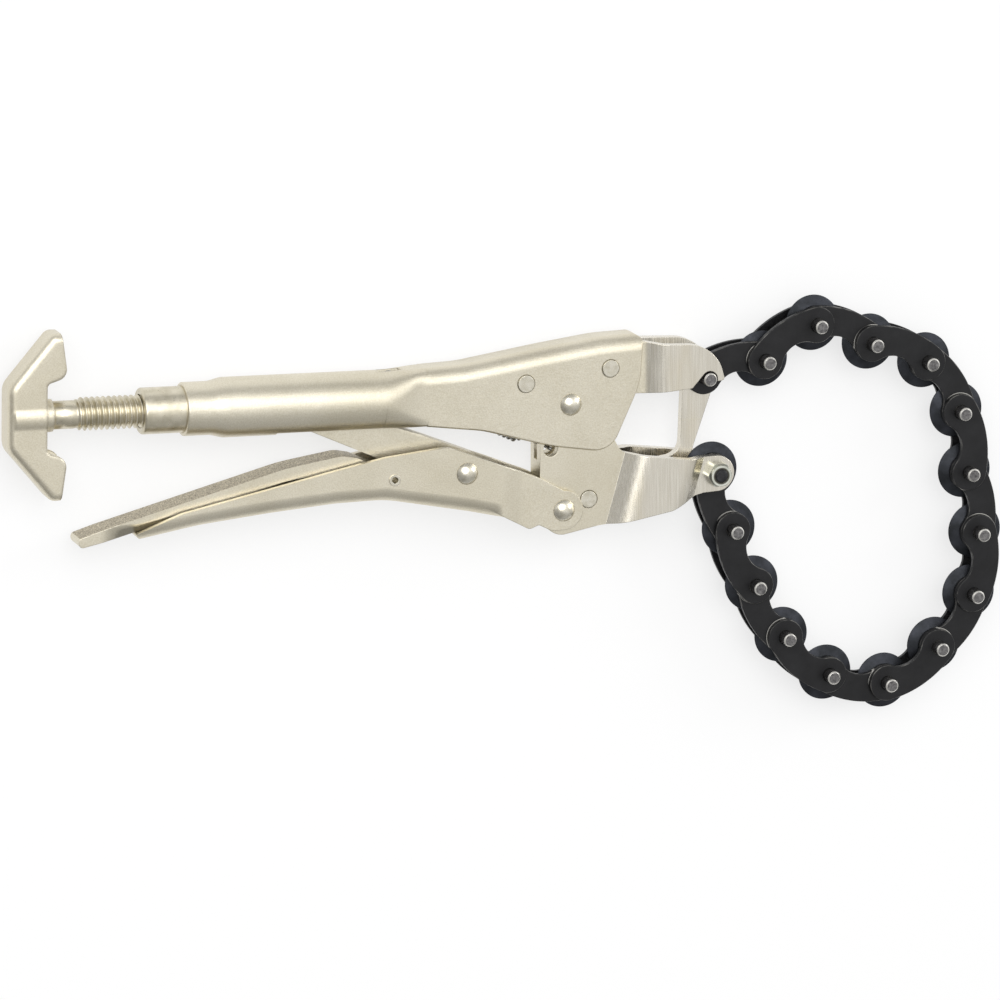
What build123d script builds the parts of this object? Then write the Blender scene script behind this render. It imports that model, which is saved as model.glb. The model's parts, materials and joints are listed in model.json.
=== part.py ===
"""Chain pipe cutter: a locking plier whose jaws pull a loop of cutter wheels tight round a pipe.

The tool lies on its side. X runs from the wing knob to the chain, Z is across the handles
and Y is the way the handles close. Sizes are in millimetres and degrees. Places are first
given from the main pivot, and the finished tool is moved onto the middle of its base.
"""
import os
from math import acos, asin, atan2, cos, degrees, hypot, radians, sin, sqrt, tan

from build123d import *

# Fits
press_gap = 0.01
running_gap = 0.05
side_gap = 0.1

# Sheet and plate
plate_thickness = 3.0
handle_sheet = 2.0
lever_sheet = 1.6
knob_sheet = 1.9

# Pivots and rivets, placed from the main pivot
main_pivot = (0.0, 0.0)
handle_pivot = (-2.2, -33.2)
toggle_pivot = (-34.0, -19.0)
release_pivot = (-57.3, -19.4)
upper_rivets = ((-14.5, 7.5), (12.9, 10.5))
lower_rivet = (6.6, -30.7)
rivet_shank = 2.9
rivet_dome = 3.45
dome_rise = 1.7
flush_rivet = 2.6
release_pin_radius = 1.8
release_pin_bore = 1.0

# Round rear of the upper handle and the screw in it
screw_tilt = 1.2
screw_origin = (-110.0, 5.35)
tube_radius = 9.2
tube_length = 50.0
tube_neck_radius = 8.2
tube_neck_length = 8.5
tube_lip = 12.5
sleeve_radius = 7.1
sleeve_out = 13.2
sleeve_edge = 0.8
thread_radius = 5.15
shank_radius = 4.3
thread_pitch = 1.75
thread_out = 46.0
shank_end = 57.0
tip_gap = 1.5
tip_chamfer = 1.2

# Wing knob
knob_half_width = 5.5
knob_half_span = 25.7
knob_depth = 12.6
knob_bend = 2.4
knob_ridge = 6.2
knob_collar = 5.0
knob_collar_length = 2.5
knob_seat = 2.0

# Jaws
hook_clearance = 0.5
hook_ramp = 48.0
jaw_nose = 12.0
tongue_gap = 1.7
fork_half_gap = 5.0
fork_fold_start = 24.5
fork_fold_length = 6.0
head_radius = 9.4
head_clearance = 0.5
spring_eye = (-5.8, -14.0)
spring_eye_radius = 2.4
fold_tilt = 15.6
fold_start = 21.9
fold_length = 5.2
cheek_length = 15.5
ear_fold_length = 4.6
cheek_half_gap = 6.8
fold_radius = 6.5

# Lower handle and release lever
lower_half_width = 8.0
joggle_start = -21.5
joggle_length = 5.0
lever_half_width = 4.9
lever_depth = 3.7
lever_play = 1.0

# Toggle link
link_half_thickness = 3.0
link_big_end = 6.2
link_small_end = 5.0
link_reach = (-81.2, 1.4)

# Return spring
spring_coil_radius = 2.9
spring_wire = 0.6
spring_bar = (-56.8, 11.0)
spring_bar_radius = 1.0
lance_length = 7.3
lance_width = 3.2

# Cutter chain
pitch = 20.0
pin_radius = 2.1
pin_half_length = 9.0
pin_chamfer = 0.4
wheel_radius = 8.8
wheel_half_hub = 1.7
wheel_hub_radius = 4.3
wheel_gap = 0.5
chain_plate = 1.4
link_lobe = 5.7
link_crown = 7.5
link_waist = 1.25
headings = (11, 31, -21, -21, -56, -81, -79, -95, -126, -149, 168, 138, 120, 113, 108)

# Anchor bolt at the end of the lower jaw
anchor = (48.1, -25.1)
ear_radius = 5.6
bolt_radius = 2.1
bolt_head_across = 7.0
bolt_head_height = 2.8
nut_across = 7.0
nut_height = 2.9
nut_collar = 1.1
bolt_reach = 0.4

# Layers across the tool, worked out from the plates
jaw_half = 1.5 * plate_thickness
handle_inner = jaw_half + side_gap
handle_outer = handle_inner + handle_sheet
lower_inner = lower_half_width - handle_sheet
inner_low = wheel_half_hub + side_gap
inner_high = inner_low + chain_plate
outer_low = inner_high + side_gap
outer_high = outer_low + chain_plate
ear_low = inner_high + 3 * side_gap
ear_high = ear_low + plate_thickness


def chain_points():
    """Places of the sixteen pins, from the hook end to the anchor bolt."""
    back = [anchor]
    for heading in reversed(headings):
        x, y = back[-1]
        back.append((x - pitch * cos(radians(heading)), y - pitch * sin(radians(heading))))
    return back[::-1]


pins = chain_points()
hook = pins[0]


def on_axis(distance):
    """Point of the screw's axis at a distance along it from its origin."""
    return (screw_origin[0] + distance * cos(radians(screw_tilt)),
            screw_origin[1] - distance * sin(radians(screw_tilt)))


screw_frame = Pos(*screw_origin) * Rot(0, 0, -screw_tilt)


def tip_distance():
    """Where the screw ends along its axis: a gap short of the toggle link's round end."""
    along = radians(-screw_tilt)
    dx = link_reach[0] - screw_origin[0]
    dy = link_reach[1] - screw_origin[1]
    return dx * cos(along) + dy * sin(along) - link_small_end - tip_gap


screw_tip = tip_distance()


def outline(*corners):
    """Closed face through points given as x, y and the radius of the corner there."""
    line = FilletPolyline(*[(x, y) for x, y, r in corners], radius=[r for x, y, r in corners], close=True)
    return make_face(line)


def layer(face, low, high):
    """A flat face made into a plate between two heights."""
    return extrude(Pos(0, 0, low) * face, amount=high - low, dir=(0, 0, 1))


def rod(at, radius, low, high):
    """A round bar across the tool."""
    return Pos(at[0], at[1], (low + high) / 2) * Cylinder(radius, high - low)


def rods(places, radius, half):
    """Bars of one size through several places, for making holes."""
    return Part() + [rod(at, radius, -half, half) for at in places]


def mirrored(piece):
    """The same piece on the far side of the tool."""
    return mirror(piece, about=Plane.XY)


def hexagon(at, across, low, high):
    """A hexagon bar across the tool, measured over its flats."""
    return layer(Pos(*at) * RegularPolygon(across / sqrt(3), 6), low, high)


def tangent_ends(a, radius_a, b, radius_b):
    """Face of two discs and the two lines that touch both."""
    distance = hypot(b[0] - a[0], b[1] - a[1])
    turn = acos((radius_a - radius_b) / distance)
    heading = atan2(b[1] - a[1], b[0] - a[0])
    corners = []
    for at, radius, side in ((a, radius_a, 1), (a, radius_a, -1), (b, radius_b, -1), (b, radius_b, 1)):
        angle = heading + side * turn
        corners.append((at[0] + radius * cos(angle), at[1] + radius * sin(angle)))
    web = make_face(Polyline(*corners, close=True))
    return Pos(*a) * Circle(radius_a) + Pos(*b) * Circle(radius_b) + web


def folded_sheet(points, thickness, reach):
    """Sheet whose folds are seen along Y: a line in X and Z, given its thickness."""
    strip = trace(FilletPolyline(*points, radius=fold_radius), line_width=thickness)
    return extrude(Plane.XZ * strip, amount=reach, both=True)


def dome_rivet(at, half):
    """Rivet with a low dome on each side of the stack that it holds."""
    ball = (rivet_dome ** 2 + dome_rise ** 2) / (2 * dome_rise)
    middle = half + dome_rise - ball
    turn = asin(rivet_dome / ball) / 2
    shoulder = (ball * sin(turn), middle + ball * cos(turn))
    top = ThreePointArc((rivet_dome, half), shoulder, (0, half + dome_rise))
    bottom = ThreePointArc((0, -half - dome_rise), (shoulder[0], -shoulder[1]), (rivet_dome, -half))
    side = Polyline((rivet_dome, -half), (rivet_shank, -half), (rivet_shank, half), (rivet_dome, half))
    core = Line((0, half + dome_rise), (0, -half - dome_rise))
    face = make_face(Curve() + [bottom, side, top, core])
    return Pos(*at) * revolve(Plane.XZ * face, axis=Axis.Z)


# Upper handle, its sleeve and its screw

top_line = ((-46, 13.7, 0), (-34, 14.0, 40), (-8, 17.7, 60), (10, 19.9, 40))
front_corner = (24.3, 20.2, 3.0)
lower_line = ((23.4, 5.0, 25), (13.6, -16.4, 8), (-6, -13.2, 60), (-28, -6.8, 30), (-46, -4.3, 0))


def handle_shell(inset):
    """Solid body of the handle's change from round to flat, drawn in by the sheet for its inside."""
    start = screw_origin[0] + tube_length
    steps = 4
    sections = []
    for step in range(steps + 1):
        share = step / steps
        ease = share * share * (3 - 2 * share)
        x = start + share * (top_line[0][0] - start)
        round_middle = on_axis(x - screw_origin[0])[1]
        flat_middle = (top_line[0][1] + lower_line[-1][1]) / 2
        half_width = tube_radius + ease * (handle_outer - tube_radius) - inset
        half_height = tube_radius + ease * ((top_line[0][1] - lower_line[-1][1]) / 2 - tube_radius) - inset
        corner = max(min(half_width, half_height) - 0.05 - ease * (handle_outer - 3.2), 1.0)
        middle = round_middle + ease * (flat_middle - round_middle)
        section = RectangleRounded(2 * half_height, 2 * half_width, corner)
        sections.append(Pos(x, middle, 0) * Rot(0, 90, 0) * Rot(0, 0, 90) * section)
    return loft(sections)


def upper_handle():
    """Pressed sheet handle: a tube at the rear and a channel, open below, at the front."""
    neck = tube_neck_length
    outside = FilletPolyline(
        (-tube_lip, sleeve_radius + press_gap), (-tube_lip, tube_neck_radius), (-tube_lip + neck, tube_neck_radius),
        (-tube_lip + neck + 4, tube_radius), (tube_length, tube_radius), radius=(0.5, 4, 4))
    inside = Polyline(
        (tube_length, tube_radius), (tube_length, tube_radius - handle_sheet), (0, tube_radius - handle_sheet),
        (-1, sleeve_radius + press_gap), (-tube_lip, sleeve_radius + press_gap))
    tube = screw_frame * revolve(make_face(Curve() + [outside, inside]), axis=Axis.X)
    change = handle_shell(0) - handle_shell(handle_sheet)
    front = layer(outline(*top_line, front_corner, *lower_line), -handle_outer, handle_outer)
    roof = front.edges().filter_by(lambda e: abs(abs(e.center().Z) - handle_outer) < 0.01 and e.center().Y > 12)
    front = fillet(roof, 2.6)
    beyond = front_corner[0] + 10
    hollow_top = [(x, y - handle_sheet, r) for x, y, r in top_line]
    hollow = outline(*hollow_top, (beyond, front_corner[1] - handle_sheet, 0), (beyond, -30, 0), (-46, -30, 0))
    front -= layer(hollow, -handle_inner, handle_inner)
    slot_rear = on_axis(screw_tip - 6)[0]
    slot = Pos((slot_rear - 44) / 2, -12, 0) * Box(-44 - slot_rear, 28, 2 * handle_inner)
    handle = tube + change + front - slot
    lance = Pos(spring_bar[0], spring_bar[1] + 2, 0) * Box(lance_length, 5, lance_width)
    bar = rod(spring_bar, spring_bar_radius, -lance_width / 2, lance_width / 2)
    holes = rods(upper_rivets, flush_rivet + press_gap, 20) + rods([main_pivot], rivet_shank + press_gap, 20)
    return handle - lance + bar - holes


def screw_sleeve():
    """Threaded sleeve fixed in the neck of the handle."""
    profile = FilletPolyline(
        (-sleeve_out - tube_lip, thread_radius + running_gap), (-sleeve_out - tube_lip, sleeve_radius),
        (0, sleeve_radius), (0, thread_radius + running_gap), radius=(sleeve_edge, 0.3))
    closing = Line((0, thread_radius + running_gap), (-sleeve_out - tube_lip, thread_radius + running_gap))
    return screw_frame * revolve(make_face(Curve() + [profile, closing]), axis=Axis.X)


def adjusting_screw():
    """Screw from the wing knob to the toggle link, drawn at the thread's outer size."""
    profile = Polyline(
        (-shank_end, 0), (-shank_end, shank_radius), (-thread_out, shank_radius),
        (-thread_out + 0.8, thread_radius), (screw_tip - tip_chamfer, thread_radius),
        (screw_tip, thread_radius - tip_chamfer), (screw_tip, 0), close=True)
    return screw_frame * revolve(make_face(profile), axis=Axis.X)


def wing_knob():
    """Pressed wing knob: a channel bent like a wide V, with a ridge pressed round the screw's end."""
    mouth = -0.7
    span = knob_half_span
    half = [(-knob_depth, 9.6, 6), (0.9, span, 3), (3.8, span - 0.1, 0), (5.6, 12.6, 3.4), (mouth, 10.6, 1.6)]
    full = half + [(x, -y, r) for x, y, r in reversed(half)]
    body = layer(outline(*full), -knob_half_width, knob_half_width)
    rim = body.edges().filter_by(
        lambda e: abs(abs(e.center().Z) - knob_half_width) < 0.01 and e.center().X < mouth - 1)
    body = fillet(rim, knob_bend)
    inner = knob_half_width - knob_sheet
    pocket = [(knob_sheet - knob_depth, 8.9, 4.1), (1.6, span - 2.1, 1.1), (12, span - 2.1, 0)]
    body -= layer(outline(*pocket, *[(x, -y, r) for x, y, r in reversed(pocket)]), -inner, inner)
    ridge_length = knob_depth - knob_sheet + mouth
    ridge = Pos(mouth - ridge_length / 2, 0, 0) * Rot(0, 90, 0) * Cylinder(knob_ridge, ridge_length)
    collar = Pos(mouth, 0, 0) * Rot(0, 90, 0) * Cylinder(knob_collar, 2 * knob_collar_length)
    bore = Rot(0, 90, 0) * Cylinder(shank_radius + press_gap, 3 * knob_seat)
    return screw_frame * Pos(knob_seat - shank_end, 0, 0) * (body + ridge + collar - bore)


# Jaws

def upper_outline():
    """Side view of an upper jaw plate, rear end to hooked nose."""
    x, y = hook
    return outline(
        (-20.5, 2.6, 3), (-20.5, 13.2, 1.5), (-8, 15.4, 60), (10, 17.6, 40), (fork_fold_start, 17.8, 4),
        (fork_fold_start + fork_fold_length, 16.9, 8), (x + 2.0, y + 10.8, jaw_nose),
        (x + 5.0, y - 0.5, 0.8), (x, y - 0.9, 0), (x - 6.0, y - 2.5, 0.3), (fork_fold_start, y - 3.6, 6),
        (10.6, y - 3.4, 0))


def hook_notch():
    """Notch that the end pin of the chain drops into, with a ramp on its left."""
    x, y = hook
    radius = pin_radius + hook_clearance
    lean = radians(hook_ramp)
    start = (x - radius * sin(lean), y + radius * cos(lean))
    run = start[1] - y + 8
    ramp_end = (start[0] - run / tan(lean), y - 8)
    way = make_face(Polyline(start, ramp_end, (x + radius, y - 8), (x + radius, y), (x, y), close=True))
    return Pos(x, y) * Circle(radius) + way


def head_space():
    """Room round the main pivot for the lower jaw's head."""
    return rods([main_pivot], head_radius + head_clearance, 20)


def upper_plate():
    """Near fork plate of the upper jaw, folded outwards beyond the handle."""
    low = jaw_half - plate_thickness / 2
    high = fork_half_gap + plate_thickness / 2
    bend = fork_fold_start
    sheet = folded_sheet(((-60, low), (bend, low), (bend + fork_fold_length, high), (90, high)), plate_thickness, 80)
    plate = sheet & layer(upper_outline() - hook_notch(), -20, 20)
    return plate - head_space() - rods(upper_rivets, flush_rivet + press_gap, 20)


def upper_core():
    """Spacer between the fork plates, inside the handle."""
    half = plate_thickness / 2
    keep = Box(2 * fork_fold_start - 2, 80, 80)
    core = layer(upper_outline(), -half, half) & keep
    return core - head_space() - rods(upper_rivets, flush_rivet + press_gap, 20)


def lower_outline():
    """Side view of a lower jaw plate: head, body, cheek and ear."""
    x, y = anchor
    body = outline(
        (-9.3, -3, 0), (-9.3, -26, 5), (-9.8, -35, 5), (-4.5, -41.9, 6), (12, -38.8, 10), (32.5, -35.2, 6),
        (x - 7.5, y - 6.4, 2), (x - 4.5, y - 5.8, 2), (x, y - 5.6, 0), (x, y + 5.6, 0), (x - 9, y + 5.6, 4),
        (17.2, -16.6, 4), (9.2, -2, 0))
    return Circle(head_radius) + body + Pos(*anchor) * Circle(ear_radius)


def lower_holes():
    """Holes through the whole lower jaw."""
    turning = rods([main_pivot, handle_pivot], rivet_shank + running_gap, 20)
    fixed = rods([lower_rivet], flush_rivet + press_gap, 20) + rods([anchor], bolt_radius + press_gap, 20)
    return turning + fixed + rods([spring_eye], spring_eye_radius, 20)


def lower_plate():
    """Near plate of the lower jaw, with its cheek folded out round the tongue and back in to the ear."""
    flat = jaw_half - plate_thickness / 2
    cheek = cheek_half_gap + plate_thickness / 2
    ear = ear_low + plate_thickness / 2
    cheek_start = fold_start + fold_length
    cheek_end = cheek_start + cheek_length
    sheet = Rot(0, 0, -fold_tilt) * folded_sheet(
        ((-60, flat), (fold_start, flat), (cheek_start, cheek), (cheek_end, cheek),
         (cheek_end + ear_fold_length, ear), (90, ear)), plate_thickness, 80)
    return sheet & layer(lower_outline(), -20, 20) - lower_holes()


def tongue_plate():
    """Middle plate of the lower jaw, whose tongue stands up into the upper fork."""
    half = plate_thickness / 2
    x, y = anchor
    hx, hy = hook
    left = x - wheel_radius - wheel_gap - 0.1
    body = outline(
        (-9.3, -3, 0), (-9.3, -26, 5), (-9.8, -35, 5), (-4.5, -41.9, 6), (12, -38.8, 10), (28, -34.6, 6),
        (left - 1.5, y - 6, 4), (left + 0.5, y + 3, 4), (x - 6.9, y + 6.2, 3), (hx + 2.7, hy - 5.5, 0.5),
        (hx + 2.7, hy - pin_radius - tongue_gap, 1), (hx - 6.6, hy - pin_radius - tongue_gap, 1), (hx - 6.9, hy - 12, 0),
        (hx - 7.3, hy - 24.4, 5), (24, -20.8, 6), (15, -17.0, 4), (9.2, -2, 0))
    plate = layer(Circle(head_radius) + body, -half, half) - rods([anchor], wheel_radius + wheel_gap, 20)
    hook_room = rods([spring_eye, (spring_eye[0] - 3, spring_eye[1])], spring_eye_radius + 1.4, 20)
    return plate - hook_room - lower_holes()


# Lower handle, toggle link and release lever

handle_belly = ((-137.8, -32.3, 0), (-119, -29.3, 60), (-97.7, -27.3, 80), (-76, -25.8, 60), (-60, -25.7, 40),
                (-33, -31.3, 30), (-21, -34.2, 0))
handle_front = ((-13.4, -38.4, 2), (-10.4, -37.2, 1.0), (-6.0, -39.4, 3))
handle_back = ((-10.2, -22.3, 30), (-29, -14.9, 6), (-40, -10.4, 7), (-60, -12.3, 30), (-76.3, -15.4, 60),
               (-124.6, -25.2, 12), (-139.6, -30.6, 0.8))


def plan_width(inset):
    """Plan of the lower handle seen along Y: wide at the rear, joggled in to the jaw at the front."""
    rear = lower_half_width - inset
    front = handle_outer - inset
    near = [(-160, rear, 0), (joggle_start, rear, 6), (joggle_start + joggle_length, front, 6), (20, front, 0)]
    far = [(x, -z, r) for x, z, r in reversed(near)]
    return extrude(Plane.XZ * outline(*near, *far), amount=80, both=True)


def lower_handle():
    """Pressed channel with its web below, which closes against the upper handle."""
    x, y = handle_pivot
    end = 6.2
    side = outline(*handle_belly, *handle_front, (x, y - end, 0), (x, y + end, 0), *handle_back)
    side += Pos(x, y) * Circle(end)
    body = layer(side, -lower_half_width, lower_half_width)
    belly = body.edges().filter_by(
        lambda e: abs(abs(e.center().Z) - lower_half_width) < 0.01
        and -136 < e.center().X < -22 and e.center().Y < -21 - 0.12 * abs(e.center().X + 60))
    body = fillet(belly, 2.4) & plan_width(0)
    floor = [(px, py + handle_sheet, r) for px, py, r in handle_belly]
    slope = (floor[1][1] - floor[0][1]) / (floor[1][0] - floor[0][0])
    floor[0] = (-160, floor[0][1] + slope * (-160 - floor[0][0]), 0)
    hollow = outline(*floor, (-16, -33, 0), (-16, -60, 0), (20, -60, 0), (20, 20, 0), (-160, 20, 0))
    body -= layer(hollow, -lower_half_width, lower_half_width) & plan_width(handle_sheet)
    holes = rods([handle_pivot, toggle_pivot], rivet_shank + press_gap, 20)
    return body - holes - rods([release_pivot], release_pin_radius + press_gap, 20)


def toggle_link():
    """Flat bar from the lower handle to the tip of the screw."""
    bar = tangent_ends(toggle_pivot, link_big_end, link_reach, link_small_end)
    plate = layer(bar, -link_half_thickness, link_half_thickness)
    return plate - rods([toggle_pivot], rivet_shank + running_gap, 20)


def toggle_rivet():
    """Rivet through the lower handle and the link, with a shoulder on each side of the link."""
    low = link_half_thickness + side_gap
    shoulders = rod(toggle_pivot, 4.4, low, lower_inner) + rod(toggle_pivot, 4.4, -lower_inner, -low)
    return dome_rivet(toggle_pivot, lower_half_width) + shoulders


def release_lever():
    """Channel with its web above, pivoted inside the lower handle under the toggle link."""
    dx = link_reach[0] - toggle_pivot[0]
    dy = link_reach[1] - toggle_pivot[1]
    slope = dy / dx
    drop = (link_big_end + lever_play) * hypot(1, slope) + 0.4

    def under_link(x):
        return toggle_pivot[1] + (x - toggle_pivot[0]) * slope - drop

    rear_top = ((-90.8, -14.0, 60), (-149.3, -29.2, 8), (-156.6, -31.4, 1.4))
    tail = ((-156.0, -34.3, 1.2), (-149.0, -29.2 - lever_depth, 8), (-90.8, -14.2 - lever_depth, 40))
    nose = ((-76, -16.4, 10), (-66, -16.4, 6), (-62, -23.2, 3), (-51.5, -23.2, 2), (-50.5, under_link(-50.5), 1.5))
    hump = ((-68.5, under_link(-68.5), 3), (-73, -11.4, 8))
    side = outline(*nose, *hump, *rear_top, *tail)
    body = layer(side, -lever_half_width, lever_half_width)
    inside_top = [(x, y - lever_sheet, r) for x, y, r in hump + rear_top[:2]]
    inside = outline((-40, under_link(-40) - lever_sheet, 0), *inside_top, (-152.5, -60, 0), (-40, -60, 0))
    inner = lever_half_width - lever_sheet
    body -= layer(inside, -inner, inner)
    return body - rods([release_pivot], release_pin_radius + running_gap, 20)


def release_pin():
    """Hollow pin of the release lever, spread at its ends in the handle."""
    half = lower_half_width + 0.3
    return rod(release_pivot, release_pin_radius, -half, half) - rod(release_pivot, release_pin_bore, -half, half)


def return_spring():
    """Spring that opens the jaws: the room of its coil, and a hook at each end."""
    dx = spring_eye[0] - spring_bar[0]
    dy = spring_eye[1] - spring_bar[1]
    length = hypot(dx, dy)
    hook_radius = spring_bar_radius + spring_wire + side_gap
    coil_start = hook_radius + 3.0
    coil_end = length - spring_eye_radius - 5.5
    frame = Pos(*spring_bar) * Rot(0, 0, degrees(atan2(dy, dx)))
    coil = Pos((coil_start + coil_end) / 2, 0, 0) * Rot(0, 90, 0) * Cylinder(spring_coil_radius, coil_end - coil_start)
    loop = Torus(hook_radius, spring_wire)
    upper = Pos(hook_radius + 2, 0, 0) * Rot(0, 90, 0) * Cylinder(spring_wire, 4)
    lower = Pos((coil_end + length) / 2, 0, 0) * Rot(0, 90, 0) * Cylinder(spring_wire, length - coil_end)
    bend = Pos(length, 0, 0) * Sphere(spring_wire)
    stub = Pos(length, 0, jaw_half / 2) * Cylinder(spring_wire, jaw_half)
    return frame * (coil + loop + upper + lower + bend + stub)


# Cutter chain

def link_outline():
    """Banana shaped side of a link, lying along X from the first pin to the second."""
    reach = pitch / 2
    crown = (reach ** 2 + link_crown ** 2 - link_lobe ** 2) / (2 * (link_crown - link_lobe))
    waist = (reach ** 2 + link_waist ** 2 - link_lobe ** 2) / (2 * (link_lobe - link_waist))
    upper = atan2(crown - link_crown, -reach)
    lower = atan2(-link_waist - waist, reach)
    top = (link_lobe * cos(upper), link_lobe * sin(upper))
    bottom = (link_lobe * cos(lower), link_lobe * sin(lower))
    edges = [
        ThreePointArc(top, (reach, link_crown), (pitch - top[0], top[1])),
        ThreePointArc((pitch - top[0], top[1]), (pitch + link_lobe, 0), (pitch - bottom[0], bottom[1])),
        ThreePointArc((pitch - bottom[0], bottom[1]), (reach, -link_waist), bottom),
        ThreePointArc(bottom, (-link_lobe, 0), top)]
    return make_face(Curve() + edges)


def chain_link(index):
    """Both side plates of a link. Odd links lie inside and turn on the pins, even ones hold them."""
    inside = index % 2 == 1
    low, high = (inner_low, inner_high) if inside else (outer_low, outer_high)
    start = running_gap if inside and index > 1 else press_gap
    end = running_gap if inside else press_gap
    face = link_outline() - Circle(pin_radius + start) - Pos(pitch, 0) * Circle(pin_radius + end)
    near = layer(face, low, high)
    near = chamfer(near.edges().filter_by(GeomType.CIRCLE).group_by(Axis.Z)[-1], 0.2)
    place = Pos(*pins[index - 1]) * Rot(0, 0, headings[index - 1])
    return place * (near + mirrored(near))


def chain_pin(at):
    """Plain pin, long enough on both sides to be hooked into the upper jaw."""
    pin = rod(at, pin_radius, -pin_half_length, pin_half_length)
    return chamfer(pin.edges().filter_by(GeomType.CIRCLE), pin_chamfer)


def cutter_wheel(at):
    """Cutter wheel: a hub and a disc ground to a V edge."""
    bore = pin_radius + running_gap
    rim = 0.12
    profile = Polyline(
        (bore, -wheel_half_hub), (wheel_hub_radius, -wheel_half_hub), (wheel_hub_radius + 0.5, -wheel_half_hub + 0.3),
        (wheel_radius - 0.1, -rim), (wheel_radius, 0), (wheel_radius - 0.1, rim),
        (wheel_hub_radius + 0.5, wheel_half_hub - 0.3), (wheel_hub_radius, wheel_half_hub), (bore, wheel_half_hub),
        close=True)
    return Pos(*at) * revolve(Plane.XZ * make_face(profile), axis=Axis.Z)


def anchor_bolt():
    """Bolt that holds the end of the chain in the ears of the lower jaw."""
    top = ear_high + nut_height + nut_collar + bolt_reach
    shank = rod(anchor, bolt_radius, -ear_high, top)
    shank = chamfer(shank.edges().filter_by(GeomType.CIRCLE).group_by(Axis.Z)[-1], 0.4)
    return shank + hexagon(anchor, bolt_head_across, -ear_high - bolt_head_height, -ear_high)


def anchor_nut():
    """Lock nut with a round collar."""
    nut = hexagon(anchor, nut_across, ear_high, ear_high + nut_height)
    nut += rod(anchor, nut_across / 2 - 0.2, ear_high + nut_height, ear_high + nut_height + nut_collar)
    return nut - rod(anchor, bolt_radius + press_gap, 0, 30)


def flush_rivets(places, half):
    """Rivets hammered flat on both sides."""
    return Part() + [rod(at, flush_rivet, -half, half) for at in places]


def all_nodes():
    """Every node of the tool by name."""
    plate = upper_plate()
    cheek = lower_plate()
    nodes = {
        "upper_handle": upper_handle(),
        "screw_sleeve": screw_sleeve(),
        "adjusting_screw": adjusting_screw(),
        "wing_knob": wing_knob(),
        "upper_jaw_near": plate,
        "upper_jaw_far": mirrored(plate),
        "upper_jaw_core": upper_core(),
        "upper_jaw_rivets": flush_rivets(upper_rivets, handle_outer + 0.3),
        "main_pivot_rivet": dome_rivet(main_pivot, handle_outer),
        "lower_jaw_near": cheek,
        "lower_jaw_far": mirrored(cheek),
        "tongue_plate": tongue_plate(),
        "lower_jaw_rivet": flush_rivets([lower_rivet], jaw_half + 0.1),
        "handle_pivot_rivet": dome_rivet(handle_pivot, handle_outer),
        "lower_handle": lower_handle(),
        "toggle_link": toggle_link(),
        "toggle_rivet": toggle_rivet(),
        "release_lever": release_lever(),
        "release_pin": release_pin(),
        "return_spring": return_spring(),
        "anchor_bolt": anchor_bolt(),
        "anchor_nut": anchor_nut(),
        "hook_pin": chain_pin(hook),
    }
    for index in range(1, len(headings) + 1):
        nodes[f"link_{index:02d}"] = chain_link(index)
    for index in range(2, len(headings), 2):
        nodes[f"pins_{index:02d}"] = Part() + [chain_pin(pins[index - 1]), chain_pin(pins[index])]
    for index in range(2, len(pins) + 1):
        nodes[f"wheel_{index:02d}"] = cutter_wheel(pins[index - 1])
    return nodes


nodes = all_nodes()
box = Compound(children=[Compound(list(node.solids())) for node in nodes.values()]).bounding_box()
shift = (-(box.min.X + box.max.X) / 2, -(box.min.Y + box.max.Y) / 2, -box.min.Z)

os.makedirs("parts", exist_ok=True)
for name, node in nodes.items():
    export_step(Pos(*shift) * node, f"parts/{name}.step")
print("size", box.size, "shift", shift)
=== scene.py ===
"""Looks of the chain pipe cutter: plated sheet, brushed jaws, black chain, thread, spring and floor."""
import json
import math

import bpy
from mathutils import Matrix, Vector


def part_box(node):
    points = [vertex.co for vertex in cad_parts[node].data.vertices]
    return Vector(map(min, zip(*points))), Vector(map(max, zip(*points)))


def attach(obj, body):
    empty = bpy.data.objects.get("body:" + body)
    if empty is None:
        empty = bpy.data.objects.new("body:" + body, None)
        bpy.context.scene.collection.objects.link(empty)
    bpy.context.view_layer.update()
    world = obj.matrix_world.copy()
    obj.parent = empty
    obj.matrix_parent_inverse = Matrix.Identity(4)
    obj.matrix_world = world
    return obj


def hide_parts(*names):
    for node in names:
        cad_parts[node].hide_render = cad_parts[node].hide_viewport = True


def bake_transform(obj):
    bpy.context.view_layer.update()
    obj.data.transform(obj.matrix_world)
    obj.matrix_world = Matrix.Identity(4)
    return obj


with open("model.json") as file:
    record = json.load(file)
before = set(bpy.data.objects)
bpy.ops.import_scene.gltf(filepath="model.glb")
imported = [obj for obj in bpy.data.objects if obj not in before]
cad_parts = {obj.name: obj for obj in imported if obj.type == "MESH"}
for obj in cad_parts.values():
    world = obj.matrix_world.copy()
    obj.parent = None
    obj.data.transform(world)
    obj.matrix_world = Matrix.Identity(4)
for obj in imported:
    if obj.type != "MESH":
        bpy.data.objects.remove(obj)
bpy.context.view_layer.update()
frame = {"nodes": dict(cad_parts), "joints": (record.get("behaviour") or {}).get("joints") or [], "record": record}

MM = 0.001
joints = {joint["name"]: joint for joint in frame["joints"]}
main_pivot = Vector(joints["jaw_open"]["pos_m"])

# Smallest part of a made direction, so that none is without length
least = 0.001

# Camera, as the photograph's: angles in degrees, distance and target in millimetres, the target from the
# main pivot, and how many pixels show one millimetre there
camera_azimuth = -18.55
camera_elevation = 12.85
camera_distance = 2127.0
camera_target = (-20.8, -29.96, 0.0)
pixels_per_millimetre = 3.2453
image_pixels = 1000
sensor_width = 36.0

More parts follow.
